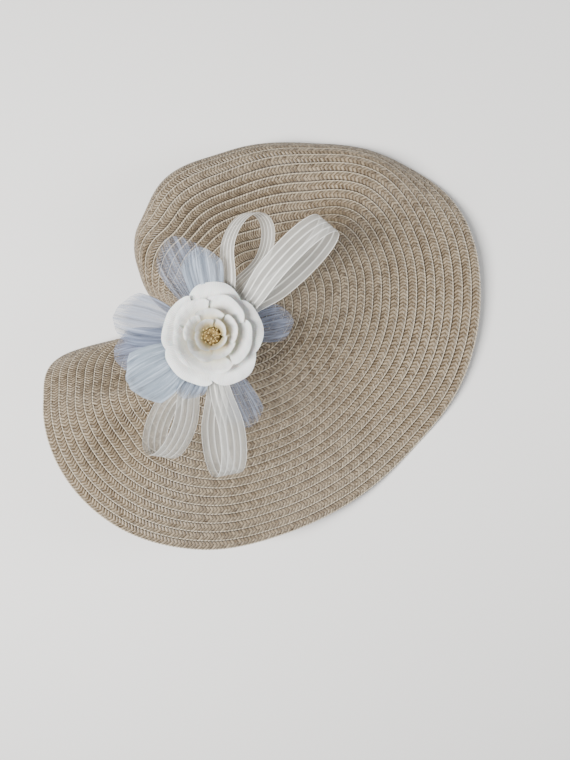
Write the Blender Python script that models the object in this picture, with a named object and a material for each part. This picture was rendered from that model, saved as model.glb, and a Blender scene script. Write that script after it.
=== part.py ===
# Folded saucer hat of sewn straw braid with a silk rose, organza petals and ribbon loops.
# Every shape is drawn in the frame of the worn hat seen from above its crown, with x to the
# right, y to the back and z out of the crown, and is leaned at the end so that it rests.
import math

import bmesh
import bpy
import numpy as np
from mathutils import Euler, Vector

# Straw disc
DISC_RADIUS = 0.210
DISC_WALL = 0.0018
DISC_INNER_SHARE = 0.03
DISC_RINGS = 17
SEAM_GAP = 0.0003
CROWN_FROM = 0.10
CROWN_TO = 0.35
CROWN_DOWN = 1.25

# How the hat leans to rest on its brim, in degrees, and how far it is raised to the floor
LEAN_X = -5.1
LEAN_Y = 10.2

# Stations along a radius of the disc at which the slopes below are given
STATIONS = (0.0, 0.3, 0.55, 0.78, 0.9, 1.0)

# One row per radius of the flat disc: its angle, the bearing that it takes near the middle
# and at the brim, its slope at each station, all in degrees, and its share of the radius
# that is left after the gathers in the notch.
SECTION_COLUMNS = ("angle", "bearing_in", "bearing_out",
                   "slope_0", "slope_1", "slope_2", "slope_3", "slope_4", "slope_5", "share")
SECTIONS = (
    (0, 12, 6, -28, -32, -19, 0, 0, -2, 1),
    (20, 29, 26, -20, -24, -18, -6, -7, -24, 1),
    (40, 43, 48, -10, -26, -18, -6, -48, -70, 1),
    (60, 54, 73, -18, -54, -14, 18, -49, -84, 1),
    (80, 66, 99, -40, -66, 6, 37, -31, -86, 1),
    (100, 82, 123, -58, -66, 22, 36, -24, -80, 1),
    (114, 102, 140, -66, -68, 14, 36, -46, -92, 1),
    (126, 124, 157, -66, -62, -12, -20, -88, -108, 0.9),
    (138, 145, 172, -62, -42, -34, -80, -100, -112, 0.76),
    (155, 165, 178, -60, -35, -70, -106, -116, -118, 0.60),
    (172, 184, 184, -45, -35, -42, -60, -95, -110, 0.75),
    (188, 200, 189, -30, -42, -29, -5, -24, -46, 0.97),
    (207, 214, 201, -20, -32, -24, -2, -6, -12, 1),
    (225, 226, 218, -10, -22, -18, -2, -2, -8, 1),
    (245, 239, 237, -12, -18, -17, -4, 0, 0, 1),
    (265, 254, 257, -22, -24, -20, -8, -4, -4, 1),
    (285, 273, 278, -34, -34, -26, -14, -8, -8, 1),
    (305, 298, 300, -40, -39, -30, -15, -9, -7, 1),
    (325, 329, 323, -42, -41, -29, -11, -6, -5, 1),
    (343, 354, 344, -37, -37, -23, -2, 0, 0, 1),
)

# Creases that run out from the pinch: angle on the disc, half width in degrees, height,
# and the shares of the radius between which each one rises and fades.
CREASES = (
    (212, 11, 0.008, 0.30, 0.95),
    (228, 9, -0.010, 0.25, 0.90),
)

# Angles of the radii of the mesh: a fine step through the notch and a coarse one elsewhere
FINE_FROM = 100
FINE_TO = 236
FINE_STEP = 4
COARSE_STEP = 6

# Flower pad under the rose, sewn to the top of the disc
ROSE_X = -0.0270
ROSE_Y = -0.0170
PAD_RADIUS = 0.0150
PAD_TOP = 0.0030
PAD_LIFT = 0.0012
PAD_RINGS = 3
PAD_SIDES = 20

# Layers above the pad, as heights of their undersides
PETAL_LAYER = 0.0003
LAYER_STEP = 0.0011
RIBBON_LAYER = 0.0026
RIBBON_STEP = 0.0012
ROSE_LAYER = 0.0062
STEM_RADIUS = 0.0081

# Rose
CORE_PROFILE = ((0.0086, 0.0), (0.0080, 0.0012), (0.0070, 0.0040), (0.0056, 0.0080), (0.0050, 0.0120))
CORE_SIDES = 18
STAMEN_RADIUS = 0.0038
STAMEN_HEIGHT = 0.0060
STAMEN_POINTS = 9
ROSE_WALL = 0.0007
ROSE_LONG = 4
ROSE_WIDE = 6
ROSE_OVERLAP = 0.0011
ROSE_SCALLOP = 0.16

# One row per ring of rose petals: how many, turn of the first in degrees, half width at the
# base and at the edge in degrees, then radius and height at the base, at the middle and at
# the edge, and how far the edge curls down.
ROSE_COLUMNS = ("count", "turn", "half_base", "half_edge", "base_r", "base_h",
                "mid_r", "mid_h", "edge_r", "edge_h", "curl")
ROSE_RINGS = (
    (5, 92, 30, 43, 0.0089, 0.0012, 0.0270, 0.0070, 0.0400, 0.0110, 0.0020),
    (5, 56, 30, 44, 0.0080, 0.0036, 0.0215, 0.0125, 0.0300, 0.0180, 0.0016),
    (5, 20, 30, 44, 0.0072, 0.0056, 0.0150, 0.0150, 0.0200, 0.0225, 0.0012),
    (4, 35, 38, 54, 0.0065, 0.0076, 0.0100, 0.0160, 0.0125, 0.0230, 0.0008),
)

# Organza petals, one row each: bearing, reach, full width, slope at the base and at the edge
# in degrees, number of pleats and layer counted from the pad.
ORGANZA_WALL = 0.0006
ORGANZA_LONG = 6
ORGANZA_WIDE = 8
ORGANZA_BASE_REACH = 0.0087
ORGANZA_BASE_WIDTH = 0.0078
ORGANZA_RIPPLE = 0.0013
ORGANZA_COLUMNS = ("bearing", "reach", "width", "slope_base", "slope_edge", "pleats", "layer")
ORGANZA_PETALS = (
    (114, 0.084, 0.044, 0, -6, 3, 0),
    (98, 0.068, 0.034, 18, 14, 3, 3),
    (168, 0.076, 0.046, 14, 2, 4, 3),
    (213, 0.074, 0.050, 11, 26, 4, 4),
    (191, 0.078, 0.042, 0, 0, 3, 0),
    (244, 0.052, 0.030, 12, 10, 3, 3),
    (290, 0.088, 0.036, 0, -58, 4, 0),
    (14, 0.064, 0.034, 3, -30, 3, 0),
)

# Ribbon loops, one row each: bearing at the base, bearing from the base to the tip, length,
# spread of the two legs, lean of the loop's own plane and lift of the tip in degrees, the
# share of the length in which it twists from flat, and its layer counted from the pad.
RIBBON_WIDTH = 0.023
RIBBON_BASE_WIDTH = 0.007
RIBBON_WALL = 0.0006
RIBBON_STEPS = 22
RIBBON_BASE_REACH = 0.0092
RIBBON_COLUMNS = ("bearing", "to_tip", "length", "spread", "lean", "lift", "twist", "layer")
RIBBON_LOOPS = (
    (78, 69, 0.090, 0.036, 30, 0, 0.60, 0),
    (36, 45, 0.112, 0.032, 66, 1, 0.40, 2),
    (222, 246, 0.094, 0.036, 44, -8, 0.55, 0.3),
    (272, 276, 0.096, 0.030, 52, 0, 0.55, 0),
)

# Comb under the crown that holds the hat in the hair
COMB_WIDTH = 0.044
COMB_BAR = 0.009
COMB_TEETH = 8
COMB_TOOTH_LENGTH = 0.024
COMB_TOOTH_SHARE = 0.45
COMB_WALL = 0.0020
COMB_STATION = 0.20
COMB_ANGLE = 318
COMB_GAP = 0.0027


def clear_scene():
    for item in list(bpy.data.objects):
        bpy.data.objects.remove(item, do_unlink=True)


def material(name, colour, roughness, metallic=0.0):
    made = bpy.data.materials.new(name)
    made.use_nodes = True
    shader = made.node_tree.nodes["Principled BSDF"]
    shader.inputs["Base Color"].default_value = (*colour, 1.0)
    shader.inputs["Roughness"].default_value = roughness
    shader.inputs["Metallic"].default_value = metallic
    made.diffuse_color = (*colour, 1.0)
    return made


def hermite(share, left, right, slope_left, slope_right, step):
    square = share * share
    cube = square * share
    return ((2 * cube - 3 * square + 1) * left + (cube - 2 * square + share) * step * slope_left
            + (3 * square - 2 * cube) * right + (cube - square) * step * slope_right)


def around(column, angle):
    # value of one column of the section table at any angle, smooth and periodic
    at = [row[0] for row in SECTIONS]
    values = [row[column] - (row[0] if column in (1, 2) else 0) for row in SECTIONS]
    at = np.array([at[-2] - 360, at[-1] - 360] + at + [at[0] + 360, at[1] + 360, at[2] + 360], float)
    values = np.array(values[-2:] + values + values[:3], float)
    slopes = np.gradient(values, at)
    turn = angle % 360.0
    k = int(np.searchsorted(at, turn, side="right")) - 1
    step = at[k + 1] - at[k]
    found = hermite((turn - at[k]) / step, values[k], values[k + 1], slopes[k], slopes[k + 1], step)
    return found + (turn if column in (1, 2) else 0)


def along(values, share):
    # slope at one share of the radius, smooth between the stations
    at = np.array(STATIONS)
    slopes = np.gradient(values, at)
    k = min(int(np.searchsorted(at, share, side="right")) - 1, len(at) - 2)
    step = at[k + 1] - at[k]
    return hermite((share - at[k]) / step, values[k], values[k + 1], slopes[k], slopes[k + 1], step)


def crease_height(angle, share):
    height = 0.0
    for middle, half, rise, start, end in CREASES:
        away = abs((angle - middle + 180) % 360 - 180) / half
        part = (share - start) / (end - start)
        if away < 1 and 0 < part < 1:
            height += rise * (0.5 + 0.5 * math.cos(math.pi * away)) * math.sin(math.pi * part)
    return height


def radius_line(angle, shares, fine=6):
    # points of one radius of the disc, its length kept as it bends
    slopes = np.array([around(column, angle) for column in range(3, 9)])
    length = DISC_RADIUS * around(9, angle)
    start, end = around(1, angle), around(2, angle)
    points = []
    reach, height, at = 0.0, 0.0, 0.0
    for share in shares:
        steps = fine if share > at else 1
        step = (share - at) / steps
        for k in range(steps):
            slope = math.radians(along(slopes, at + (k + 0.5) * step))
            reach += math.cos(slope) * step * length
            height += math.sin(slope) * step * length
        at = share
        mix = share * share * (3 - 2 * share)
        bearing = math.radians(start * (1 - mix) + end * mix)
        rise = height + crease_height(angle, share)
        points.append(Vector((reach * math.cos(bearing), reach * math.sin(bearing), rise)))
    return points


def surface_point(angle, share):
    return radius_line(angle, [share], fine=24)[0]


def surface_frame(angle, share, angle_step=1.0, share_step=0.01):
    # point, outward direction, sideways direction and upward normal of the disc
    here = surface_point(angle, share)
    out = (surface_point(angle, share + share_step) - surface_point(angle, share - share_step))
    side = (surface_point(angle + angle_step, share) - surface_point(angle - angle_step, share))
    out.normalize()
    side.normalize()
    normal = out.cross(side).normalized()
    return here, out, side, normal


def mesh_object(name, points, faces, look):
    mesh = bpy.data.meshes.new(name)
    mesh.from_pydata([tuple(point) for point in points], [], faces)
    made = bpy.data.objects.new(name, mesh)
    bpy.context.scene.collection.objects.link(made)
    build = bmesh.new()
    build.from_mesh(mesh)
    bmesh.ops.recalc_face_normals(build, faces=build.faces)
    bmesh.ops.triangulate(build, faces=build.faces)
    build.to_mesh(mesh)
    build.free()
    for face in mesh.polygons:
        face.use_smooth = True
    mesh.materials.append(look)
    return made


def grid_normals(rows, closed):
    # normal at each point of a grid of points, the mean of the faces about it
    count, wide = len(rows), len(rows[0])
    normals = [[Vector((0, 0, 0)) for _ in range(wide)] for _ in range(count)]
    for i in range(count - 1):
        for j in range(wide if closed else wide - 1):
            n = (j + 1) % wide
            corner = rows[i][j]
            face = (rows[i + 1][n] - corner).cross(rows[i][n] - rows[i + 1][j])
            if face.length > 0:
                face.normalize()
            for a, b in ((i, j), (i, n), (i + 1, j), (i + 1, n)):
                normals[a][b] += face
    return [[normal.normalized() for normal in line] for line in normals]


def sheet_solid(name, rows, wall, look, share_above=0.5):
    # closed solid of an open grid of points, with a wall laid to both sides of it
    normals = grid_normals(rows, False)
    count, wide = len(rows), len(rows[0])
    points = [rows[i][j] + normals[i][j] * wall * share_above for i in range(count) for j in range(wide)]
    points += [rows[i][j] - normals[i][j] * wall * (1 - share_above)
               for i in range(count) for j in range(wide)]
    under = count * wide
    faces = []
    for i in range(count - 1):
        for j in range(wide - 1):
            a, b, c, d = (i * wide + j, i * wide + j + 1, (i + 1) * wide + j + 1, (i + 1) * wide + j)
            faces += [(a, b, c, d), (under + d, under + c, under + b, under + a)]
    for i in range(count - 1):
        for j in (0, wide - 1):
            a, b = i * wide + j, (i + 1) * wide + j
            faces.append((a, b, under + b, under + a))
    for j in range(wide - 1):
        for i in (0, count - 1):
            a, b = i * wide + j, i * wide + j + 1
            faces.append((a, b, under + b, under + a))
    return mesh_object(name, points, faces, look)


def disc_angles():
    angles = list(range(0, FINE_FROM, COARSE_STEP))
    angles += list(range(FINE_FROM, FINE_TO, FINE_STEP))
    angles += list(range(FINE_TO, 360, COARSE_STEP))
    return [angle for angle in angles if angle < 360 - COARSE_STEP / 2]


def straw_disc(look):
    angles = disc_angles()
    shares = [DISC_INNER_SHARE + (1 - DISC_INNER_SHARE) * k / (DISC_RINGS - 1) for k in range(DISC_RINGS)]
    lines = [radius_line(angle, shares) for angle in angles]
    rows = [[line[i] for line in lines] for i in range(DISC_RINGS)]
    normals = grid_normals(rows, True)
    count, wide = len(rows), len(angles)
    points = [point for row in rows for point in row]
    for i in range(count):
        # straight down under the ridge of the crown, square to the sheet farther out
        mix = min(1.0, max(0.0, (shares[i] - CROWN_FROM) / (CROWN_TO - CROWN_FROM)))
        for j in range(wide):
            down = normals[i][j] * mix + Vector((0, 0, CROWN_DOWN)) * (1 - mix)
            points.append(rows[i][j] - down * DISC_WALL)
    under = count * wide
    faces = []
    for i in range(count - 1):
        for j in range(wide):
            n = (j + 1) % wide
            a, b, c, d = i * wide + j, i * wide + n, (i + 1) * wide + n, (i + 1) * wide + j
            faces += [(a, b, c, d), (under + d, under + c, under + b, under + a)]
    last = (count - 1) * wide
    for j in range(wide):
        n = (j + 1) % wide
        faces.append((last + j, last + n, under + last + n, under + last + j))
    top = Vector((0, 0, 0))
    points += [top, top - Vector((0, 0, DISC_WALL * CROWN_DOWN))]
    tip = len(points) - 2
    for j in range(wide):
        n = (j + 1) % wide
        faces += [(tip, n, j), (tip + 1, under + j, under + n)]
    return mesh_object("straw_disc", points, faces, look)


def disc_height(x, y, angle=210.0, share=0.2):
    # height of the disc's top above a point near the crown, found by a short search
    step = 0.02
    for _ in range(24):
        here = surface_point(angle, share)
        by_share = (surface_point(angle, share + 0.01) - here) / 0.01
        by_angle = (surface_point(angle + 1.0, share) - here) / 1.0
        det = by_share.x * by_angle.y - by_share.y * by_angle.x
        dx, dy = x - here.x, y - here.y
        share += (dx * by_angle.y - dy * by_angle.x) / det
        angle += (by_share.x * dy - by_share.y * dx) / det
        share = min(max(share, step), 0.6)
    return surface_point(angle, share).z


def flower_pad(look):
    # pad whose underside follows the disc and whose top is flat
    rings = []
    for k in range(1, PAD_RINGS + 1):
        ring = []
        for j in range(PAD_SIDES):
            turn = 2 * math.pi * j / PAD_SIDES
            x = ROSE_X + PAD_RADIUS * k / PAD_RINGS * math.cos(turn)
            y = ROSE_Y + PAD_RADIUS * k / PAD_RINGS * math.sin(turn)
            start = math.degrees(math.atan2(y, x)) % 360
            share = math.hypot(x, y) / DISC_RADIUS * 1.1
            ring.append(Vector((x, y, disc_height(x, y, start, share) + PAD_LIFT)))
        rings.append(ring)
    middle_start = math.degrees(math.atan2(ROSE_Y, ROSE_X)) % 360
    middle_share = math.hypot(ROSE_X, ROSE_Y) / DISC_RADIUS * 1.1
    middle = disc_height(ROSE_X, ROSE_Y, middle_start, middle_share) + PAD_LIFT
    points = [point for ring in rings for point in ring]
    points += [Vector((point.x, point.y, PAD_TOP)) for point in points]
    under = PAD_RINGS * PAD_SIDES
    faces = []
    for k in range(PAD_RINGS - 1):
        for j in range(PAD_SIDES):
            n = (j + 1) % PAD_SIDES
            a, b = k * PAD_SIDES + j, k * PAD_SIDES + n
            c, d = b + PAD_SIDES, a + PAD_SIDES
            faces += [(d, c, b, a), (under + a, under + b, under + c, under + d)]
    last = (PAD_RINGS - 1) * PAD_SIDES
    points += [Vector((ROSE_X, ROSE_Y, middle)), Vector((ROSE_X, ROSE_Y, PAD_TOP))]
    tip = len(points) - 2
    for j in range(PAD_SIDES):
        n = (j + 1) % PAD_SIDES
        faces.append((last + j, last + n, under + last + n, under + last + j))
        faces += [(tip, j, n), (tip + 1, under + n, under + j)]
    return mesh_object("flower_pad", points, faces, look)


def rose_point(radius, turn, height):
    return Vector((ROSE_X + radius * math.cos(turn), ROSE_Y + radius * math.sin(turn),
                   PAD_TOP + ROSE_LAYER + height))


def curve_three(share, start, middle, end):
    # smooth curve through three values at shares 0, one half and 1
    return (start * (1 - share) * (1 - 2 * share) + middle * 4 * share * (1 - share)
            + end * share * (2 * share - 1))


def rose_petal(name, ring, index, look):
    row = dict(zip(ROSE_COLUMNS, ring))
    turn = row["turn"] + 360.0 / row["count"] * index
    rows = []
    for i in range(ROSE_LONG + 1):
        line = []
        for j in range(ROSE_WIDE + 1):
            side = 2.0 * j / ROSE_WIDE - 1.0
            share = i / ROSE_LONG * (1 - ROSE_SCALLOP * side ** 4)
            half = row["half_base"] + (row["half_edge"] - row["half_base"]) * share
            radius = curve_three(share, row["base_r"], row["mid_r"], row["edge_r"])
            height = curve_three(share, row["base_h"], row["mid_h"], row["edge_h"])
            height -= row["curl"] * max(0.0, share - 0.7) / 0.3
            lap = ROSE_OVERLAP * side * min(1.0, 0.35 + share)
            bearing = math.radians(turn + half * side)
            line.append(rose_point(radius + lap * 0.6, bearing, height - lap * 0.8))
        rows.append(line)
    return sheet_solid(name, rows, ROSE_WALL, look)


def turned_solid(name, profile, sides, look, height=0.0):
    points = [rose_point(radius, 2 * math.pi * j / sides, height + rise)
              for radius, rise in profile for j in range(sides)]
    faces = []
    for i in range(len(profile) - 1):
        for j in range(sides):
            n = (j + 1) % sides
            faces.append((i * sides + j, i * sides + n, (i + 1) * sides + n, (i + 1) * sides + j))
    faces.append(tuple(range(sides)))
    faces.append(tuple(range((len(profile) - 1) * sides, len(profile) * sides)))
    return mesh_object(name, points, faces, look)


def rose_stamens(look):
    # tuft of stamens as one spiky crown on the rose's core
    base = CORE_PROFILE[-1][1] + SEAM_GAP
    points, faces = [], []
    sides = STAMEN_POINTS * 2
    for j in range(sides):
        turn = 2 * math.pi * j / sides
        tall = STAMEN_HEIGHT if j % 2 == 0 else STAMEN_HEIGHT * 0.55
        points.append(rose_point(STAMEN_RADIUS, turn, base))
        points.append(rose_point(STAMEN_RADIUS * (1.05 if j % 2 == 0 else 0.9), turn, base + tall))
    low, high = len(points), len(points) + 1
    points += [rose_point(0.0, 0.0, base), rose_point(0.0, 0.0, base + STAMEN_HEIGHT * 0.45)]
    for j in range(sides):
        n = (j + 1) % sides
        faces.append((2 * j, 2 * n, 2 * n + 1, 2 * j + 1))
        faces += [(low, 2 * n, 2 * j), (high, 2 * j + 1, 2 * n + 1)]
    return mesh_object("rose_stamens", points, faces, look)


def organza_petal(name, numbers, look):
    row = dict(zip(ORGANZA_COLUMNS, numbers))
    bearing = math.radians(row["bearing"])
    out = Vector((math.cos(bearing), math.sin(bearing), 0))
    side = Vector((-math.sin(bearing), math.cos(bearing), 0))
    base = Vector((ROSE_X, ROSE_Y, PAD_TOP + PETAL_LAYER + ORGANZA_WALL + LAYER_STEP * row["layer"]))
    base += out * ORGANZA_BASE_REACH
    length = row["reach"] - ORGANZA_BASE_REACH
    rows = []
    for i in range(ORGANZA_LONG + 1):
        share_row = i / ORGANZA_LONG
        line = []
        for j in range(ORGANZA_WIDE + 1):
            across = 2.0 * j / ORGANZA_WIDE - 1.0
            share = share_row * (1 - 0.22 * across ** 2 * share_row)
            reach, height, steps = 0.0, 0.0, 12
            for k in range(steps):
                mix = share * (k + 0.5) / steps
                slope = math.radians(row["slope_base"] * (1 - mix) + row["slope_edge"] * mix)
                reach += math.cos(slope) * length * share / steps
                height += math.sin(slope) * length * share / steps
            fan = math.sin(math.pi * min(1.0, 0.12 + 0.62 * share))
            width = ORGANZA_BASE_WIDTH * (1 - share) + row["width"] * fan * share ** 0.6 * 1.02
            ripple = ORGANZA_RIPPLE * share * math.sin(math.pi * row["pleats"] * across)
            point = base + out * reach + side * (across * width / 2)
            line.append(point + Vector((0, 0, height + ripple)))
        rows.append(line)
    return sheet_solid(name, rows, ORGANZA_WALL, look)


def loop_outline(share):
    # closed teardrop from the base out to the tip and back, as (outward, sideways) shares
    turn = 2 * math.pi * share
    outward = 0.5 - 0.5 * math.cos(turn)
    sideways = math.sin(turn) * (math.sin(turn / 2) ** 1.2) * 0.62
    return outward, sideways


def ribbon_loop(name, numbers, look):
    row = dict(zip(RIBBON_COLUMNS, numbers))
    start = math.radians(row["bearing"])
    to_tip = math.radians(row["to_tip"])
    lift, lean = math.radians(row["lift"]), math.radians(row["lean"])
    out = Vector((math.cos(to_tip) * math.cos(lift), math.sin(to_tip) * math.cos(lift), math.sin(lift)))
    flat = Vector((-math.sin(to_tip), math.cos(to_tip), 0))
    up = out.cross(flat)
    base = Vector((ROSE_X, ROSE_Y, PAD_TOP + RIBBON_LAYER + LAYER_STEP * row["layer"]))
    base += RIBBON_BASE_REACH * Vector((math.cos(start), math.sin(start), 0))
    rows = []
    for i in range(RIBBON_STEPS + 1):
        share = i / RIBBON_STEPS
        outward, sideways = loop_outline(share)
        near = min(1.0, outward / row["twist"])
        turn = lean * near + math.pi / 2 * (1 - near)
        side = flat * math.cos(turn) + up * math.sin(turn)
        across = out.cross(side)
        width = RIBBON_BASE_WIDTH + (RIBBON_WIDTH - RIBBON_BASE_WIDTH) * near
        apart = row["spread"] * sideways * near ** 1.5
        apart += math.copysign(RIBBON_STEP, row["spread"]) * (0.5 - share)
        centre = base + out * row["length"] * outward + side * apart
        rows.append([centre + across * width * (k - 0.5) for k in (0.0, 0.5, 1.0)])
    return sheet_solid(name, rows, RIBBON_WALL, look)


def comb_edges():
    # places across a flat comb where its bar and its teeth begin and end
    pitch = COMB_WIDTH / COMB_TEETH
    tooth = pitch * COMB_TOOTH_SHARE
    cuts = []
    for k in range(COMB_TEETH):
        left = -COMB_WIDTH / 2 + pitch * k + (pitch - tooth) / 2
        cuts += [left, left + tooth]
    return [-COMB_WIDTH / 2] + cuts + [COMB_WIDTH / 2]


def hair_comb(look):
    here, out, side, normal = surface_frame(COMB_ANGLE, COMB_STATION)
    origin = here - normal * (DISC_WALL + COMB_GAP + COMB_WALL / 2) - out * (COMB_BAR / 2)
    edges = comb_edges()
    points, faces = [], []
    levels = (0.0, COMB_BAR, COMB_BAR + COMB_TOOTH_LENGTH)
    for lift in (0.5, -0.5):
        for level in levels:
            for edge in edges:
                points.append(origin + side * edge + out * level + normal * COMB_WALL * lift)
    wide = len(edges)
    under = wide * len(levels)
    for j in range(wide - 1):
        a, b = wide + j, wide + j + 1
        faces.append((j, j + 1, b, a))
        faces.append((under + j, under + a, under + b, under + j + 1))
        faces.append((j, under + j, under + j + 1, j + 1))
        if j % 2 == 1:
            c, d = b + wide, a + wide
            faces += [(a, b, c, d), (under + a, under + d, under + c, under + b)]
            faces += [(a, d, under + d, under + a), (b, under + b, under + c, c)]
            faces.append((d, c, under + c, under + d))
        else:
            faces.append((a, b, under + b, under + a))
    for j in (0, wide - 1):
        faces.append((j, wide + j, under + wide + j, under + j))
    return mesh_object("hair_comb", points, faces, look)


def rest_on_floor(parts):
    # lean every part to the way the hat rests, then lower its lowest point to the floor and
    # centre its box
    lean = Euler((math.radians(LEAN_X), math.radians(LEAN_Y), 0.0), "XYZ").to_matrix()
    for part in parts:
        for vertex in part.data.vertices:
            vertex.co = lean @ vertex.co
    every = [vertex.co for part in parts for vertex in part.data.vertices]
    low = Vector([min(point[k] for point in every) for k in range(3)])
    high = Vector([max(point[k] for point in every) for k in range(3)])
    shift = Vector(((low.x + high.x) / 2, (low.y + high.y) / 2, low.z))
    for part in parts:
        for vertex in part.data.vertices:
            vertex.co = vertex.co - shift


def build():
    clear_scene()
    straw = material("straw_braid", (0.32, 0.24, 0.16), 0.7)
    silk = material("rose_silk", (0.86, 0.84, 0.78), 0.6)
    organza = material("blue_organza", (0.42, 0.50, 0.62), 0.7)
    ribbon = material("ivory_ribbon", (0.80, 0.78, 0.72), 0.6)
    golden = material("stamen_gold", (0.55, 0.40, 0.16), 0.6)
    felt = material("pad_felt", (0.30, 0.24, 0.17), 0.9)
    plastic = material("comb_plastic", (0.30, 0.22, 0.15), 0.4)
    parts = [straw_disc(straw), hair_comb(plastic), flower_pad(felt)]
    parts += [organza_petal(f"organza_petal_{k + 1}", row, organza) for k, row in enumerate(ORGANZA_PETALS)]
    parts += [ribbon_loop(f"ribbon_loop_{k + 1}", row, ribbon) for k, row in enumerate(RIBBON_LOOPS)]
    stem = ((STEM_RADIUS, SEAM_GAP - ROSE_LAYER), (STEM_RADIUS, -SEAM_GAP))
    parts.append(turned_solid("rose_stem", stem, CORE_SIDES, felt))
    parts.append(turned_solid("rose_core", CORE_PROFILE, CORE_SIDES, silk))
    parts.append(rose_stamens(golden))
    number = 0
    for ring in ROSE_RINGS:
        for index in range(ring[0]):
            number += 1
            parts.append(rose_petal(f"rose_petal_{number:02d}", ring, index, silk))
    rest_on_floor(parts)


build()
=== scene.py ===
import math

import bpy
import numpy as np
from mathutils import Euler, Matrix, Vector


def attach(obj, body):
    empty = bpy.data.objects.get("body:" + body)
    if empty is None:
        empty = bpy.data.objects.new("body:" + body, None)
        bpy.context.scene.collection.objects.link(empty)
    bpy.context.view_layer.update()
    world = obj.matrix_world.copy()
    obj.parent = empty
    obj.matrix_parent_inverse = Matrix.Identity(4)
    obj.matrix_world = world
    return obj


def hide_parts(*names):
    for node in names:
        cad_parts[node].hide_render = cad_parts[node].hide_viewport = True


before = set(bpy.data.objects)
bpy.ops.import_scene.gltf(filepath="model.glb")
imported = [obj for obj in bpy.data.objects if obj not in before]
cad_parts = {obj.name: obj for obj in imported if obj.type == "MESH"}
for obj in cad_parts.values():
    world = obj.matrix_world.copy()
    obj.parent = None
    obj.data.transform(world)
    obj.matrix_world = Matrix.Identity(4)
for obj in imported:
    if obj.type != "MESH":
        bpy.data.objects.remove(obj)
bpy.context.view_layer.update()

# The worn hat is drawn with z out of its crown. Resting, it leans by these angles, and the
# middle of its crown stands at this point above the floor.
LEAN = Euler((math.radians(-5.1), math.radians(10.2), 0.0), "XYZ").to_matrix()
CROWN = Vector((0.00725, 0.02500, 0.11089))


def rested(points):
    return np.asarray(points, float) @ np.array(LEAN).T + np.array(CROWN)


# Camera: almost over the crown, as in the photograph, with a lens of 34 mm on the long side.
EYE = Vector((0.0267, -0.0497, 0.55))
camera_data = bpy.data.cameras.new("camera")
camera_data.sensor_width = 36.0
camera_data.lens = 34.1
camera_data.clip_start = 0.02
camera = bpy.data.objects.new("camera", camera_data)
camera.matrix_world = Matrix.Translation(CROWN + LEAN @ EYE) @ LEAN.to_4x4()
bpy.context.scene.collection.objects.link(camera)
bpy.context.scene.camera = camera

# Studio: a tall soft light from the left, as from a window, a weak one from the right and a
# dim pale world. Places are in the frame of the worn hat, in metres.
LIGHTS = (("key", (-0.72, -0.22, 0.90), (0.35, 0.8), 40.0, (1.0, 0.99, 0.97)),
          ("fill", (0.90, 0.00, 0.55), (0.3, 1.0), 11.0, (0.97, 0.985, 1.0)))
for name, place, size, power, colour in LIGHTS:
    light = bpy.data.lights.new(name, "AREA")
    light.shape, light.size, light.size_y, light.energy, light.color = "RECTANGLE", *size, power, colour
    lamp = bpy.data.objects.new(name, light)
    spot = CROWN + LEAN @ Vector(place)
    lamp.matrix_world = Matrix.Translation(spot) @ (spot - CROWN).to_track_quat("Z", "Y").to_matrix().to_4x4()
    bpy.context.scene.collection.objects.link(lamp)
world = bpy.data.worlds.new("world")
world.use_nodes = True
world.node_tree.nodes["Background"].inputs["Color"].default_value = (0.93, 0.95, 1.0, 1.0)
world.node_tree.nodes["Background"].inputs["Strength"].default_value = 0.12
bpy.context.scene.world = world


# Maths of the materials: a Term is a value in a node tree, so sums and products can be
# written as such.
class Term:
    def __init__(self, tree, socket):
        self.tree, self.socket = tree, socket

    def math(self, operation, *others):
        node = self.tree.nodes.new("ShaderNodeMath")
        node.operation = operation
        for place, value in enumerate((self, *others)):
            if isinstance(value, Term):
                self.tree.links.new(value.socket, node.inputs[place])
            else:
                node.inputs[place].default_value = value
        return Term(self.tree, node.outputs[0])

    def __add__(self, other):
        return self.math("ADD", other)

    def __sub__(self, other):
        return self.math("SUBTRACT", other)

    def __mul__(self, other):
        return self.math("MULTIPLY", other)

    def __truediv__(self, other):
        return self.math("DIVIDE", other)

    def floor(self):
        return self.math("FLOOR")

    def fract(self):
        return self.math("FRACT")

    def abs(self):
        return self.math("ABSOLUTE")

    def wave(self):
        # 0 to 1 and back once per unit
        return (self * (2 * math.pi)).math("COSINE") * -0.5 + 0.5

    def step(self, low, high):
        # smooth rise from 0 at low to 1 at high
        node = self.tree.nodes.new("ShaderNodeMapRange")
        node.interpolation_type = "SMOOTHSTEP"
        self.tree.links.new(self.socket, node.inputs["Value"])
        node.inputs["From Min"].default_value = low
        node.inputs["From Max"].default_value = high
        return Term(self.tree, node.outputs["Result"])

    def near(self, middle, half):
        # 1 at the middle, 0 from half away
        return (self - middle).abs().step(half, 0.0)


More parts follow.
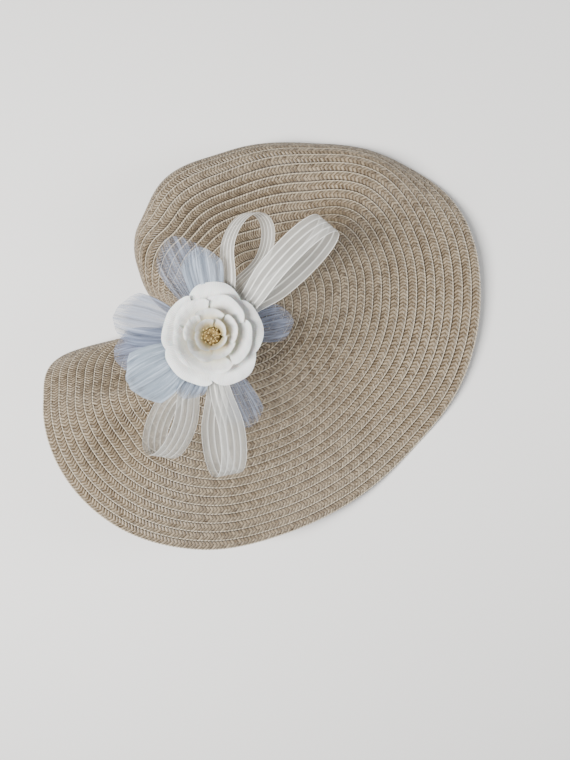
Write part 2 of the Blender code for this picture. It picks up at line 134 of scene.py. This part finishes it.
class Look:
    # one material: its tree, its shader and the coordinates that its pattern is laid on
    def __init__(self, name, colour, roughness, **sockets):
        self.made = bpy.data.materials.new(name)
        self.made.use_nodes = True
        self.tree = self.made.node_tree
        self.shader = self.tree.nodes["Principled BSDF"]
        self.shader.inputs["Base Color"].default_value = (*colour, 1.0)
        self.shader.inputs["Roughness"].default_value = roughness
        for socket, value in sockets.items():
            self.shader.inputs[socket.replace("_", " ")].default_value = value
        self.coords = self.tree.nodes.new("ShaderNodeTexCoord")

    def uv(self):
        parts = self.tree.nodes.new("ShaderNodeSeparateXYZ")
        self.tree.links.new(self.coords.outputs["UV"], parts.inputs[0])
        return Term(self.tree, parts.outputs[0]), Term(self.tree, parts.outputs[1])

    def noise(self, scale, detail=2.0, vector=None, roughness=0.5):
        node = self.tree.nodes.new("ShaderNodeTexNoise")
        node.inputs["Scale"].default_value = scale
        node.inputs["Detail"].default_value = detail
        node.inputs["Roughness"].default_value = roughness
        self.tree.links.new(vector or self.coords.outputs["Object"], node.inputs["Vector"])
        return Term(self.tree, node.outputs["Fac"])

    def vector(self, *terms):
        node = self.tree.nodes.new("ShaderNodeCombineXYZ")
        for place, term in enumerate(terms):
            self.tree.links.new(term.socket, node.inputs[place])
        return node.outputs[0]

    def chance(self, *terms):
        node = self.tree.nodes.new("ShaderNodeTexWhiteNoise")
        node.noise_dimensions = "3D"
        self.tree.links.new(self.vector(*terms), node.inputs["Vector"])
        return Term(self.tree, node.outputs["Value"])

    def mix(self, share, low, high):
        node = self.tree.nodes.new("ShaderNodeMix")
        node.data_type = "RGBA"
        self.tree.links.new(share.socket, node.inputs[0])
        for place, value in ((6, low), (7, high)):
            if isinstance(value, tuple):
                node.inputs[place].default_value = (*value, 1.0)
            else:
                self.tree.links.new(value, node.inputs[place])
        return node.outputs[2]

    def link(self, socket, value):
        self.tree.links.new(value.socket if isinstance(value, Term) else value, self.shader.inputs[socket])

    def bump(self, height, distance, strength=1.0):
        node = self.tree.nodes.new("ShaderNodeBump")
        node.inputs["Strength"].default_value = strength
        node.inputs["Distance"].default_value = distance
        self.tree.links.new(height.socket, node.inputs["Height"])
        self.tree.links.new(node.outputs[0], self.shader.inputs["Normal"])


def grid_object(name, grid, look):
    # a mesh of a grid of points, rows by columns, with its own shares as coordinates
    rows, columns = grid.shape[:2]
    mesh = bpy.data.meshes.new(name)
    index = np.arange(rows * columns).reshape(rows, columns)
    quads = np.stack([index[:-1, :-1], index[:-1, 1:], index[1:, 1:], index[1:, :-1]], -1).reshape(-1, 4)
    mesh.from_pydata(rested(grid.reshape(-1, 3)).tolist(), [], quads.tolist())
    layer = mesh.uv_layers.new(name="UVMap")
    u, v = np.meshgrid(np.linspace(0, 1, columns), np.linspace(0, 1, rows))
    corners = np.stack([u.ravel(), v.ravel()], -1)[quads.ravel()]
    layer.data.foreach_set("uv", corners.astype(np.float32).ravel())
    mesh.polygons.foreach_set("use_smooth", [True] * len(mesh.polygons))
    mesh.materials.append(look.made)
    made = bpy.data.objects.new(name, mesh)
    bpy.context.scene.collection.objects.link(made)
    return made


# Floor: a plain pale surface.
floor_look = Look("floor_paper", (0.80, 0.79, 0.775), 0.9)
floor_mesh = bpy.data.meshes.new("floor")
floor_mesh.from_pydata([(-4, -4, 0), (4, -4, 0), (4, 4, 0), (-4, 4, 0)], [], [(0, 1, 2, 3)])
floor_mesh.materials.append(floor_look.made)
floor = bpy.data.objects.new("floor", floor_mesh)
bpy.context.scene.collection.objects.link(floor)


# Straw disc: a flat plait of straw sewn in rows, each row's outer edge lying on the next
# row. Its folds are drawn by the slopes along its radii, gathered at the notch.
ROWS = 27
DISC_RADIUS = 0.210
DISC_WALL = 0.0018
CROWN_DOWN = 1.25  # thickness straight down at the crown, as a share of the wall
PLAIT_LENGTH = 0.0060
STITCH_LENGTH = 0.0114
STATIONS = (0.0, 0.3, 0.55, 0.78, 0.9, 1.0)
# angle, bearing near the middle and at the brim, slope at each station, share of the radius
SECTIONS = (
    (0, 12, 6, -28, -32, -19, 0, 0, -2, 1),
    (20, 29, 26, -20, -24, -18, -6, -7, -24, 1),
    (40, 43, 48, -10, -26, -18, -6, -48, -70, 1),
    (60, 54, 73, -18, -54, -14, 18, -49, -84, 1),
    (80, 66, 99, -40, -66, 6, 37, -31, -86, 1),
    (100, 82, 123, -58, -66, 22, 36, -24, -80, 1),
    (114, 102, 140, -66, -68, 14, 36, -46, -92, 1),
    (126, 124, 157, -66, -62, -12, -20, -88, -108, 0.9),
    (138, 145, 172, -62, -42, -34, -80, -100, -112, 0.76),
    (155, 165, 178, -60, -35, -70, -106, -116, -118, 0.60),
    (172, 184, 184, -45, -35, -42, -60, -95, -110, 0.75),
    (188, 200, 189, -30, -42, -29, -5, -24, -46, 0.97),
    (207, 214, 201, -20, -32, -24, -2, -6, -12, 1),
    (225, 226, 218, -10, -22, -18, -2, -2, -8, 1),
    (245, 239, 237, -12, -18, -17, -4, 0, 0, 1),
    (265, 254, 257, -22, -24, -20, -8, -4, -4, 1),
    (285, 273, 278, -34, -34, -26, -14, -8, -8, 1),
    (305, 298, 300, -40, -39, -30, -15, -9, -7, 1),
    (325, 329, 323, -42, -41, -29, -11, -6, -5, 1),
    (343, 354, 344, -37, -37, -23, -2, 0, 0, 1),
)
# angle, half width, height, share where it rises, share where it fades
CREASES = (
    (212, 11, 0.008, 0.30, 0.95),
    (228, 9, -0.010, 0.25, 0.90),
)
# across one row: share of its width, height over the sheet in metres
ROW_PROFILE = ((0.00, -0.0008), (0.10, -0.0006), (0.38, -0.0001),
               (0.74, 0.0001), (0.91, 0.0003), (0.98, 0.0002))


def curve(at, values, places):
    # smooth curve through values at the places in at
    slopes = np.gradient(values, at, axis=-1)
    k = np.clip(np.searchsorted(at, places, side="right") - 1, 0, len(at) - 2)
    step = at[k + 1] - at[k]
    t = (places - at[k]) / step
    return ((2 * t**3 - 3 * t**2 + 1) * values[..., k] + (t**3 - 2 * t**2 + t) * step * slopes[..., k]
            + (3 * t**2 - 2 * t**3) * values[..., k + 1] + (t**3 - t**2) * step * slopes[..., k + 1])


def disc_surface(angles, shares):
    # points of the folded disc at each share of each radius, in the frame of the worn hat
    table = np.array(SECTIONS, float)
    at = table[:, 0]
    around = np.concatenate([at[-2:] - 360, at, at[:3] + 360])
    columns = table[:, 1:].T.copy()
    columns[:2] -= at
    columns = np.concatenate([columns[:, -2:], columns, columns[:, :3]], 1)
    found = curve(around, columns, angles % 360)
    start, end = np.radians(found[0] + angles), np.radians(found[1] + angles)
    fine = 4
    stops = np.concatenate([[0.0], shares])
    middles = (stops[:-1, None] + np.diff(stops)[:, None] * (np.arange(fine) + 0.5) / fine).ravel()
    steps = np.repeat(np.diff(stops) / fine, fine)
    slopes = np.radians(curve(np.array(STATIONS), found[2:8].T, middles))
    length = (DISC_RADIUS * found[8])[:, None] * steps
    reach = np.cumsum(np.cos(slopes) * length, 1)[:, fine - 1::fine]
    height = np.cumsum(np.sin(slopes) * length, 1)[:, fine - 1::fine]
    for middle, half, rise, low, high in CREASES:
        away = np.abs((angles - middle + 180) % 360 - 180) / half
        part = (shares - low) / (high - low)
        hill = np.where(away < 1, 0.5 + 0.5 * np.cos(np.pi * np.minimum(away, 1)), 0)[:, None]
        height = height + rise * hill * np.where((part > 0) & (part < 1), np.sin(np.pi * part), 0)
    mix = shares * shares * (3 - 2 * shares)
    bearing = start[:, None] * (1 - mix) + end[:, None] * mix
    return np.stack([reach * np.cos(bearing), reach * np.sin(bearing), height], -1).transpose(1, 0, 2)


def grid_normals(grid, wrapped):
    # mean normal of the faces about each point of a grid, which a wrapped one closes round
    if wrapped:
        ahead = np.roll(grid, -1, 1)
        a, b, c, d = grid[:-1], ahead[:-1], ahead[1:], grid[1:]
    else:
        a, b, c, d = grid[:-1, :-1], grid[:-1, 1:], grid[1:, 1:], grid[1:, :-1]
    face = np.cross(c - a, b - d)
    face /= np.linalg.norm(face, axis=-1, keepdims=True) + 1e-12
    total = np.zeros_like(grid)
    if wrapped:
        both = face + np.roll(face, 1, 1)
        total[:-1] += both
        total[1:] += both
    else:
        for i, j in ((0, 0), (0, 1), (1, 0), (1, 1)):
            total[i:grid.shape[0] - 1 + i, j:grid.shape[1] - 1 + j] += face
    return total / (np.linalg.norm(total, axis=-1, keepdims=True) + 1e-12)


straw_look = Look("straw_braid", (0.27, 0.20, 0.135), 0.42, Specular_IOR_Level=0.6, Anisotropic=0.85,
                  Anisotropic_Rotation=0.25)
u, v = straw_look.uv()
row = v * float(ROWS)
number = row.floor()
place = row.fract()
# each row is longer than the last by this much, and holds whole units of plait and stitches
longer = 2 * math.pi * DISC_RADIUS / ROWS
plait = u * ((number + 0.5) * (longer / PLAIT_LENGTH)).floor()
sewn = u * ((number + 0.5) * (longer / STITCH_LENGTH)).floor() + straw_look.chance(number, number, number)
chevron = plait * 2.0 + (place - 0.46).abs() * 1.7
strand = (chevron.fract() - 0.5).abs() * 2.0
strand_round = strand * strand * -1.0 + 1.0
# The raised outer edge of each row: its pale edge thread, lightened further as a painted highlight where the
# edge catches the light.
edge = place.step(0.84, 0.90) * place.step(1.0, 0.97)
# Painted shadow: the strip of each row that lies under the raised edge of the row inside it, where shade
# falls under that step.
painted_step_shadow = place.step(0.20, 0.02)
# Painted shade: small notches between plait units, painted near black as the shade seen in these holes.
shaded_notch = plait.fract().near(0.5, 0.34) * place.near(0.76, 0.14)
dash = sewn.fract().step(0.12, 0.2) * sewn.fract().step(0.86, 0.76)
thread = (place.near(0.66, 0.05) + place.near(0.78, 0.05)) * dash
tone = straw_look.chance(chevron.floor(), number, place.step(0.45, 0.47))
drift = straw_look.noise(9.0, 3.0)
grit = straw_look.noise(700.0, 2.0)
body = straw_look.mix(tone, (0.132, 0.095, 0.058), (0.330, 0.260, 0.175))
body = straw_look.mix(drift.step(0.35, 0.7) * 0.25, body, (0.190, 0.135, 0.080))
# Painted shade: the grooves between the rounded strands of the plait are darkened, as shade falls there.
body = straw_look.mix(strand_round.step(0.72, 0.10) * 0.62, body, (0.045, 0.028, 0.014))
body = straw_look.mix(grit.step(0.5, 0.8) * 0.4, body, (0.32, 0.24, 0.155))
# painted shade in the notches of the plait
body = straw_look.mix(shaded_notch * 0.85, body, (0.018, 0.011, 0.006))
# painted shadow under each row's step, near black
body = straw_look.mix(painted_step_shadow * 0.95, body, (0.016, 0.010, 0.005))
body = straw_look.mix(thread * 0.6, body, (0.46, 0.38, 0.27))
# pale edge thread with painted highlight
body = straw_look.mix(edge * 0.9, body, (0.58, 0.50, 0.38))
straw_look.link("Base Color", body)
relief = strand_round * 0.75 + edge * 0.35 + thread * 0.30 - shaded_notch * 0.5 + grit * 0.15 + tone * 0.12
straw_look.bump(relief, 0.0011, 1.0)

disc_angles = np.concatenate([np.arange(0, 96, 0.9), np.arange(96, 240, 0.72), np.arange(240, 360, 0.9)])
row_shares = np.array([(k + t) / ROWS for k in range(ROWS) for t, _ in ROW_PROFILE][1:])
row_heights = np.array([rise for k in range(ROWS) for _, rise in ROW_PROFILE][1:])
top = disc_surface(disc_angles, row_shares)
up = grid_normals(top, True)
heights = row_heights.copy()
heights[row_shares > 0.995] = 0.0
crown_share = np.clip((row_shares - 0.10) / 0.25, 0, 1)[:, None, None]
down = up * crown_share + np.array([0, 0, CROWN_DOWN]) * (1 - crown_share)
outer = top + up * heights[:, None, None]
keep = slice(0, len(row_shares), 3)
inner = (top - down * DISC_WALL)[keep]
inner[-1] = (top - down * DISC_WALL)[-1]
sheet = np.concatenate([outer, inner[::-1]])
coordinate = np.concatenate([row_shares, row_shares[keep][::-1]])
wide = len(disc_angles)
mesh = bpy.data.meshes.new("straw_braid_disc")
index = np.arange(len(sheet) * wide).reshape(len(sheet), wide)
ahead = np.roll(index, -1, 1)
quads = np.stack([index[:-1], index[1:], ahead[1:], ahead[:-1]], -1).reshape(-1, 4)
tips = len(sheet) * wide
points = np.concatenate([sheet.reshape(-1, 3), [[0, 0, 0], [0, 0, -CROWN_DOWN * DISC_WALL]]])
caps = [(tips, int(a), int(b)) for a, b in zip(index[0], ahead[0])]
caps += [(tips + 1, int(b), int(a)) for a, b in zip(index[-1], ahead[-1])]
mesh.from_pydata(rested(points).tolist(), [], quads.tolist() + caps)
turns = np.append(disc_angles, 360.0) / 360.0
first, second = turns[:-1], turns[1:]
along = np.stack([coordinate[:-1], coordinate[1:], coordinate[1:], coordinate[:-1]], -1)
corners = np.empty((len(sheet) - 1, wide, 4, 2))
corners[..., 0] = np.stack([first, first, second, second], -1)[None]
corners[..., 1] = along[:, None]
tail = np.zeros((len(caps) * 3, 2))
layer = mesh.uv_layers.new(name="UVMap")
layer.data.foreach_set("uv", np.concatenate([corners.reshape(-1, 2), tail]).astype(np.float32).ravel())
mesh.polygons.foreach_set("use_smooth", [True] * len(mesh.polygons))
mesh.materials.append(straw_look.made)
braid = bpy.data.objects.new("straw_braid_disc", mesh)
bpy.context.scene.collection.objects.link(braid)
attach(braid, "root")
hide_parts("straw_disc")


# Comb: brown injection-moulded plastic, sewn under the crown through its bar.
comb_look = Look("comb_plastic", (0.17, 0.115, 0.07), 0.35)
comb_look.bump(comb_look.noise(900.0, 2.0), 0.0002, 0.3)
comb_tone = comb_look.noise(60.0, 2.0)
comb_look.link("Base Color", comb_look.mix(comb_tone, (0.13, 0.085, 0.05), (0.21, 0.145, 0.09)))
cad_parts["hair_comb"].data.materials.clear()
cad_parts["hair_comb"].data.materials.append(comb_look.made)


# Flower pad: a disc of felt that the petals, loops and stem are sewn to. Its top is slightly
# crowned and its face is fuzzy.
ROSE = Vector((-0.0270, -0.0170, 0.0030))
felt_look = Look("pad_felt", (0.30, 0.24, 0.17), 0.95, Sheen_Weight=0.5)
fibres = felt_look.noise(1500.0, 4.0, roughness=0.7)
felt_look.link("Base Color", felt_look.mix(fibres, (0.22, 0.17, 0.115), (0.38, 0.31, 0.225)))
felt_look.bump(fibres, 0.0006, 0.7)
for node_name, piece_name in (("flower_pad", "felt_pad"), ("rose_stem", "felt_stem")):
    made = bpy.data.objects.new(piece_name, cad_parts[node_name].data.copy())
    bpy.context.scene.collection.objects.link(made)
    made.data.materials.clear()
    made.data.materials.append(felt_look.made)
    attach(made, "root")
    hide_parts(node_name)


# Organza petals: loose petals cut from thin pleated organza, gathered at their base under the
# rose. Each is one crinkled sheet with a pale frayed edge.
# bearing, reach, width, slope at the base and edge, pleats, layer
ORGANZA = (
    (114, 0.084, 0.044, 0, -6, 3, 0),
    (98, 0.068, 0.034, 18, 14, 3, 3),
    (168, 0.076, 0.046, 14, 2, 4, 3),
    (213, 0.074, 0.050, 11, 26, 4, 4),
    (191, 0.078, 0.042, 0, 0, 3, 0),
    (244, 0.052, 0.030, 12, 10, 3, 3),
    (290, 0.088, 0.036, 0, -58, 4, 0),
    (14, 0.064, 0.034, 3, -30, 3, 0),
)
# tint from pale to dark, and how much of what lies behind each petal covers
TINTS = ((0.92, 0.48), (0.58, 0.70), (1.00, 0.68), (0.42, 0.96),
         (1.10, 0.76), (0.75, 0.78), (0.95, 0.52), (1.05, 0.60))
BASE_REACH = 0.0087
BASE_WIDTH = 0.0078
PLEAT_RISE = 0.0013
LAYER_STEP = 0.0011
PETAL_UP = 0.0009


def organza_grid(row, rows, columns):
    bearing, reach, width, slope_base, slope_edge, pleats, layer = row
    turn = math.radians(bearing)
    out = np.array([math.cos(turn), math.sin(turn), 0])
    side = np.array([-math.sin(turn), math.cos(turn), 0])
    base = np.array(ROSE) + np.array([0, 0, PETAL_UP + LAYER_STEP * layer]) + out * BASE_REACH
    length = reach - BASE_REACH
    rng = np.random.default_rng(int(bearing))
    across = np.linspace(-1, 1, columns)[None, :]
    share_row = np.linspace(0, 1, rows)[:, None]
    bays = sum(rng.uniform(0.4, 1) * np.sin(k * across + rng.uniform(0, 6)) / k for k in (3, 5, 9, 15))
    share = share_row * (1 - 0.22 * across**2 * share_row) * (1 + 0.03 * bays * share_row**3)
    fine = (np.arange(24) + 0.5) / 24
    mix = share[..., None] * fine
    slope = np.radians(slope_base * (1 - mix) + slope_edge * mix)
    forward = np.cos(slope).mean(-1) * length * share
    height = np.sin(slope).mean(-1) * length * share
    fan = np.sin(np.pi * np.minimum(1, 0.12 + 0.62 * share))
    half = (BASE_WIDTH * (1 - share) + width * fan * share**0.6 * 1.02) / 2
    ripple = PLEAT_RISE * share * np.sin(np.pi * pleats * across)
    bends = [np.sin(np.pi * k * across + rng.uniform(0, 6) + 1.6 * np.sin(3 * share + rng.uniform(0, 6)))
             for k in (4.6, 7.3, 11.9)]
    crimp = 0.00026 * sum(bends) * share**0.7
    wobble = 0.0016 * np.sin(5.1 * share_row + rng.uniform(0, 6))
    wobble = wobble * np.sin(2.3 * across + rng.uniform(0, 6)) * share_row
    height = height + ripple + crimp + wobble
    return (base + out * forward[..., None] + side * (across * half)[..., None]
            + np.array([0, 0, 1]) * height[..., None])


for number, numbers in enumerate(ORGANZA):
    tint, cover = TINTS[number]
    colour = tuple(p * (1 - tint) + d * tint for p, d in zip((0.38, 0.46, 0.53), (0.150, 0.185, 0.27)))
    light = tuple(c * 1.3 + 0.10 for c in colour)
    dark = tuple(c * 0.55 for c in colour)
    look = Look(f"blue_organza_{number + 1}", colour, 0.55, Sheen_Weight=0.15, Sheen_Roughness=0.3)
    u, v = look.uv()
    grain = u * 0.0 + number * 7.3
    streak = look.noise(1.0, 4.0, vector=look.vector(u * 22.0, v * 1.5, grain), roughness=0.6)
    fine = look.noise(1.0, 3.0, vector=look.vector(u * 95.0, v * 4.0, grain), roughness=0.6)
    warp = look.noise(60.0, 3.0)
    margin = v.step(0.93, 0.99)
    body = look.mix(streak.step(0.42, 0.30), look.mix(streak.step(0.48, 0.66), colour, light), dark)
    look.link("Base Color", look.mix(margin * 0.45 + fine.step(0.5, 0.7) * 0.25, body, light))
    look.bump(streak * 1.2 + fine * 0.4 + warp * 0.3, 0.0012, 0.8)
    frayed = v.step(0.80, 1.0) * fine.step(0.60, 0.42) * (0.60 - 0.4 * (cover > 0.9))
    look.link("Alpha", streak.step(0.35, 0.65) * 0.24 + fine * 0.14 - frayed + (cover - 0.12))
    piece = grid_object(f"organza_{number + 1}", organza_grid(numbers, 44, 73), look)
    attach(piece, "root")
    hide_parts(f"organza_petal_{number + 1}")


# Ribbon loops: semi-sheer ivory ribbon with raised lengthwise cords, folded into loops whose
# ends are gathered and sewn to the pad.
# bearing at the base, bearing to the tip, length, spread, lean, lift, twist, layer
RIBBONS = (
    (78, 69, 0.090, 0.036, 30, 0, 0.60, 0),
    (36, 45, 0.112, 0.032, 66, 1, 0.40, 2),
    (222, 246, 0.094, 0.036, 44, -8, 0.55, 0.3),
    (272, 276, 0.096, 0.030, 52, 0, 0.55, 0),
)
RIBBON_WIDTH = 0.023
RIBBON_BASE_WIDTH = 0.007
RIBBON_BASE_REACH = 0.0092
RIBBON_UP = 0.0026
RIBBON_CORDS = 4
CORD_RISE = 0.00035


def ribbon_grid(row, rows, columns):
    bearing, to_tip, length, spread, lean, lift, twist, layer = row
    start, tip = math.radians(bearing), math.radians(to_tip)
    lift, lean = math.radians(lift), math.radians(lean)
    out = np.array([math.cos(tip) * math.cos(lift), math.sin(tip) * math.cos(lift), math.sin(lift)])
    flat = np.array([-math.sin(tip), math.cos(tip), 0])
    up = np.cross(out, flat)
    base = np.array(ROSE) + np.array([0, 0, RIBBON_UP + LAYER_STEP * layer])
    base = base + RIBBON_BASE_REACH * np.array([math.cos(start), math.sin(start), 0])
    share = np.linspace(0, 1, rows)
    outward = 0.5 - 0.5 * np.cos(2 * np.pi * share)
    sideways = np.sin(2 * np.pi * share) * np.abs(np.sin(np.pi * share)) ** 1.2 * 0.62
    # near rises from 0 at the gathered foot to 1 in the open loop, round a soft corner
    reach = outward / twist
    near = (1 + reach - np.sqrt((1 - reach) ** 2 + 0.03)) / 2 + 0.0075
    turn = lean * near + np.pi / 2 * (1 - near)
    side = flat * np.cos(turn)[:, None] + up * np.sin(turn)[:, None]
    across = np.cross(out, side)
    width = RIBBON_BASE_WIDTH + (RIBBON_WIDTH - RIBBON_BASE_WIDTH) * near
    apart = spread * sideways * near**1.5 + math.copysign(0.0012, spread) * (0.5 - share)
    centre = base + out * (length * outward)[:, None] + side * apart[:, None]
    place = np.linspace(-0.5, 0.5, columns)
    grid = centre[:, None] + across[:, None] * (width[:, None] * place)[..., None]
    thick = grid_normals(grid, False)
    cord = np.abs(np.cos(np.pi * RIBBON_CORDS * (place + 0.5))) ** 6
    gather = (1 - near)[:, None] * 0.0009 * np.cos(2 * np.pi * 3 * place)[None]
    return grid + thick * (cord[None] * CORD_RISE + gather)[..., None]


ribbon_look = Look("ivory_ribbon", (0.78, 0.77, 0.73), 0.45, Sheen_Weight=0.3, Sheen_Roughness=0.35)
u, v = ribbon_look.uv()
cords = ((u * float(RIBBON_CORDS)) * math.pi).math("COSINE").abs().math("POWER", 16.0)
fine_threads = (u * 90.0).wave()
rungs = (v * 420.0).wave()
selvedge = u.near(0.0, 0.035) + u.near(1.0, 0.035)
cloud = ribbon_look.noise(45.0, 3.0)
solid = (cords + selvedge).math("MINIMUM", 1.0)
ribbon_look.link("Base Color", ribbon_look.mix(solid, (0.60, 0.595, 0.56), (0.95, 0.945, 0.91)))
ribbon_look.bump(solid * 0.7 + fine_threads * 0.12 + rungs * 0.12 + cloud * 0.4, 0.0006, 0.7)
ribbon_look.link("Alpha", solid * 0.42 + fine_threads * rungs * 0.12 + cloud * 0.20 + 0.38)
for number, numbers in enumerate(RIBBONS):
    piece = grid_object(f"ribbon_{number + 1}", ribbon_grid(numbers, 97, 61), ribbon_look)
    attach(piece, "root")
    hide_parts(f"ribbon_loop_{number + 1}")


# Rose: nineteen petals of ivory silk in four rings around a small core, each petal cupped,
# rolled at its edge and slightly crumpled; towards its base a cream tint, darkened by painted shade.
# count, turn, half widths, radius and height at base, middle and edge, curl
RINGS = (
    (5, 92, 30, 43, 0.0089, 0.0012, 0.0270, 0.0070, 0.0400, 0.0110, 0.0020),
    (5, 56, 30, 44, 0.0080, 0.0036, 0.0215, 0.0125, 0.0300, 0.0180, 0.0016),
    (5, 20, 30, 44, 0.0072, 0.0056, 0.0150, 0.0150, 0.0200, 0.0225, 0.0012),
    (4, 35, 38, 54, 0.0065, 0.0076, 0.0100, 0.0160, 0.0125, 0.0230, 0.0008),
)
ROSE_UP = 0.0062
# by ring: how creamy the base is, with painted shade that grows towards the inner rings, and how gilt the
# edge
CREAM_AND_SHADE = (0.06, 0.22, 0.50, 0.70)
GILT = (0.0, 0.08, 0.40, 0.75)


def through(share, start, middle, end):
    return (start * (1 - share) * (1 - 2 * share) + middle * 4 * share * (1 - share)
            + end * share * (2 * share - 1))


def silk_grid(ring, index, rows, columns):
    (count, turn, half_base, half_edge, base_r, base_h, mid_r, mid_h, edge_r, edge_h, curl) = ring
    rng = np.random.default_rng(100 * count + 10 * index + int(turn))
    turn = turn + 360.0 / count * index + rng.uniform(-7, 7)
    half_edge = half_edge * rng.uniform(0.92, 1.05)
    side = np.linspace(-1, 1, columns)[None, :]
    share_row = np.linspace(0, 1, rows)[:, None]
    round_off = 0.22 * np.abs(side) ** 2.8 + 0.04 * side**2
    waver = 0.035 * np.sin(3.4 * side + rng.uniform(0, 6)) + 0.016 * np.sin(8.0 * side + rng.uniform(0, 6))
    share = share_row * (1 - round_off + waver * share_row**2)
    half = half_base + (half_edge - half_base) * share
    radius = through(share, base_r, mid_r, edge_r * rng.uniform(0.94, 1.02))
    height = through(share, base_h, mid_h, edge_h * rng.uniform(0.92, 1.04))
    rolled = np.maximum(0, share - 0.72) / 0.28
    height = height - curl * 1.3 * rolled**1.4
    lap = 0.0011 * side * np.minimum(1, 0.35 + share)
    crumple = 0.0009 * np.sin(4.2 * side + rng.uniform(0, 6)) * share**3
    crumple = crumple + 0.0004 * np.sin(9.0 * side + rng.uniform(0, 6)) * share**3
    crumple = crumple + 0.00022 * np.sin(17.0 * side + 8.0 * share + rng.uniform(0, 6)) * share**2
    bearing = np.radians(turn + half * side)
    radius = radius + lap * 0.6
    height = height - lap * 0.8 + crumple
    at = np.array(ROSE) + np.array([0, 0, ROSE_UP])
    return at + np.stack([radius * np.cos(bearing), radius * np.sin(bearing), height], -1)


petal_number = 0
for ring_number, ring in enumerate(RINGS):
    cream_and_shade = CREAM_AND_SHADE[ring_number]
    look = Look(f"rose_silk_{ring_number + 1}", (0.86, 0.84, 0.79), 0.6, Sheen_Weight=0.3,
                Subsurface_Weight=0.15, Subsurface_Scale=0.002)
    u, v = look.uv()
    cloud = look.noise(70.0, 3.0)
    veins = ((u - 0.5) * 34.0 + cloud * 1.4).wave()
    cloth = (u * 180.0).wave() * 0.5 + (v * 120.0).wave() * 0.5
    # Cream tint towards each petal's base, darkened as painted shade deep in the rose, more in the inner
    # rings.
    deep = v.step(0.75, 0.10) * (0.35 + cream_and_shade)
    silk = look.mix(deep, look.mix(veins * 0.3, (0.80, 0.81, 0.80), (0.72, 0.725, 0.70)), (0.70, 0.58, 0.28))
    look.link("Base Color", look.mix(v.step(0.93, 0.985) * GILT[ring_number], silk, (0.66, 0.52, 0.22)))
    look.bump(veins * 0.25 + cloth * 0.06 + cloud * 0.9, 0.0007, 0.7)
    for index in range(ring[0]):
        petal_number += 1
        piece = grid_object(f"silk_petal_{petal_number:02d}", silk_grid(ring, index, 25, 37), look)
        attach(piece, "root")
        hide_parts(f"rose_petal_{petal_number:02d}")


# Rose core and stamens: a wrapped silk cone, and a tuft of fine stalks with golden heads.
core_look = Look("core_silk", (0.78, 0.70, 0.48), 0.7)
core_cloud = core_look.noise(300.0, 3.0)
core_tone = core_look.mix(core_cloud.step(0.35, 0.65), (0.085, 0.050, 0.012), (0.30, 0.20, 0.06))
core_look.link("Base Color", core_tone)
core_look.bump(core_cloud, 0.0005, 0.8)
core = bpy.data.objects.new("silk_core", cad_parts["rose_core"].data.copy())
bpy.context.scene.collection.objects.link(core)
core.data.materials.clear()
core.data.materials.append(core_look.made)
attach(core, "root")
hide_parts("rose_core")

gold_look = Look("stamen_gold", (0.55, 0.40, 0.16), 0.6)
grain = gold_look.noise(2500.0, 2.0)
gold_look.link("Base Color", gold_look.mix(grain.step(0.35, 0.65), (0.34, 0.20, 0.05), (0.86, 0.68, 0.30)))
gold_look.bump(grain, 0.0003, 0.8)
STAMENS = 26
SIDES = 7
stamen_rng = np.random.default_rng(7)
points, faces = [], []
middle = ROSE + Vector((0, 0, ROSE_UP + 0.0123))
for k in range(STAMENS):
    turn = k * math.radians(137.5)
    spread = math.sqrt((k + 0.5) / STAMENS)
    foot = Vector((math.cos(turn), math.sin(turn), 0)) * 0.0028 * spread
    lean = Vector((math.cos(turn), math.sin(turn), 0)) * (0.0008 + 0.0036 * spread)
    head = foot + lean + Vector((0, 0, stamen_rng.uniform(0.0040, 0.0060) - 0.0012 * spread))
    bend = (foot + head) / 2 + Vector((0, 0, 0.0006))
    sections = [(foot, 0.00018), (bend, 0.00016), (head, 0.00016), (head + Vector((0, 0, 0.00025)), 0.00052),
                (head + Vector((0, 0, 0.0008)), 0.00055), (head + Vector((0, 0, 0.00115)), 0.0002)]
    for centre, radius in sections:
        for j in range(SIDES):
            a = 2 * math.pi * j / SIDES
            points.append(LEAN @ (middle + centre + Vector((math.cos(a), math.sin(a), 0)) * radius) + CROWN)
    first = k * len(sections) * SIDES
    last = first + (len(sections) - 1) * SIDES
    for s in range(first, last, SIDES):
        for j in range(SIDES):
            n = (j + 1) % SIDES
            faces.append((s + j, s + n, s + SIDES + n, s + SIDES + j))
    faces.append(tuple(last + j for j in range(SIDES)))
    faces.append(tuple(first + SIDES - 1 - j for j in range(SIDES)))
mesh = bpy.data.meshes.new("golden_stamens")
mesh.from_pydata([tuple(p) for p in points], [], faces)
mesh.polygons.foreach_set("use_smooth", [True] * len(mesh.polygons))
mesh.materials.append(gold_look.made)
stamens = bpy.data.objects.new("golden_stamens", mesh)
bpy.context.scene.collection.objects.link(stamens)
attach(stamens, "root")
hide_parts("rose_stamens")
